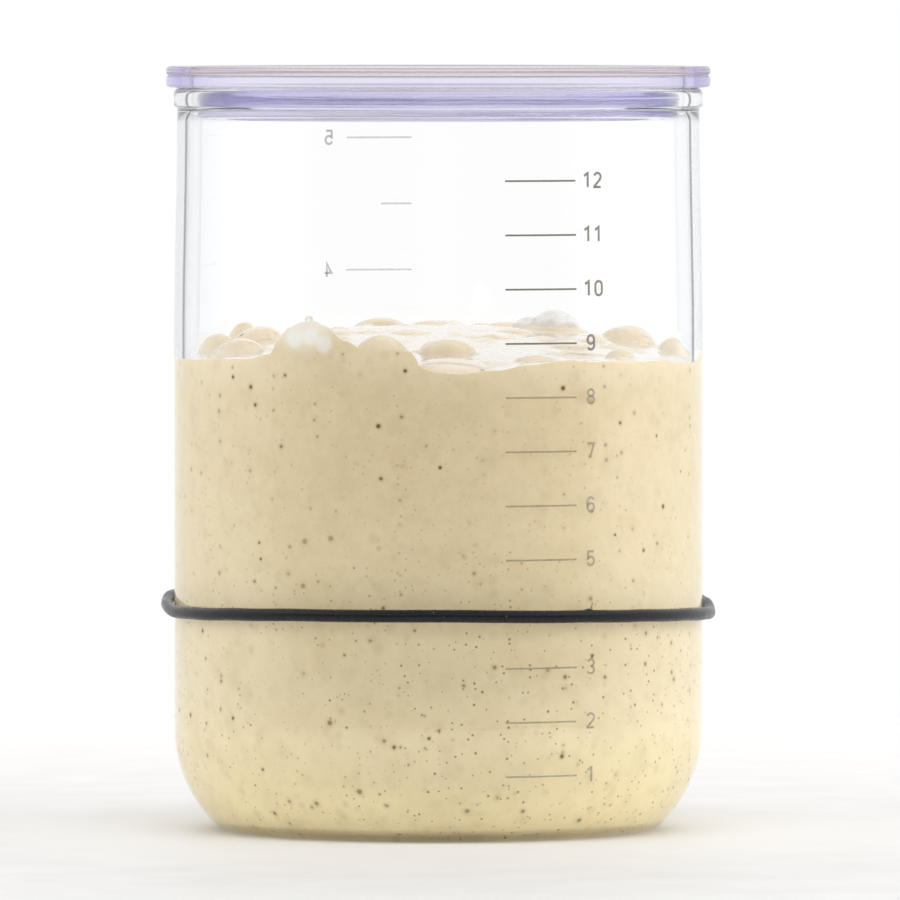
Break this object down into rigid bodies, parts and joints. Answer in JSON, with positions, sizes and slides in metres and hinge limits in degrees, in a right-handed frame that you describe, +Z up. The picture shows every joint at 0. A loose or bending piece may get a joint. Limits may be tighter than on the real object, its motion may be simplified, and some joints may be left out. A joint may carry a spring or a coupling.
{
  "type": "sourdough starter jar",
  "caption": "Clear glass cylinder jar with thick rim, drop-in sealed lid, sliding rubber marker band, printed height scales and sourdough starter inside.",
  "frame": {"origin": "centre of the foot, on the surface that the jar stands on", "axes": "+Z up along the jar's axis; the centimetre scale faces -Y, the inch scale faces +Y"},
  "size_m": [0.1045, 0.1044, 0.1435],
  "materials": {
    "glass": "clear polished",
    "starter": "moist flour batter",
    "enamel": "grey ceramic print",
    "lid_plastic": "clear with a violet tint",
    "seal": "translucent silicone",
    "band_rubber": "matt"
  },
  "bodies": {
    "jar": {"jar_glass": "glass", "starter": "starter", "cm_scale": "enamel", "inch_scale": "enamel"},
    "lid": {"lid": "lid_plastic", "lid_seal": "seal"},
    "band": {"marker_band": "band_rubber"}
  },
  "joints": [
    {"name": "lid_lift", "type": "slide", "parent": "jar", "child": "lid", "axis": [0, 0, 1], "range_m": [0, 0.06]},
    {"name": "band_slide", "type": "slide", "parent": "jar", "child": "band", "axis": [0, 0, 1], "range_m": [-0.021, 0.089]}
  ]
}
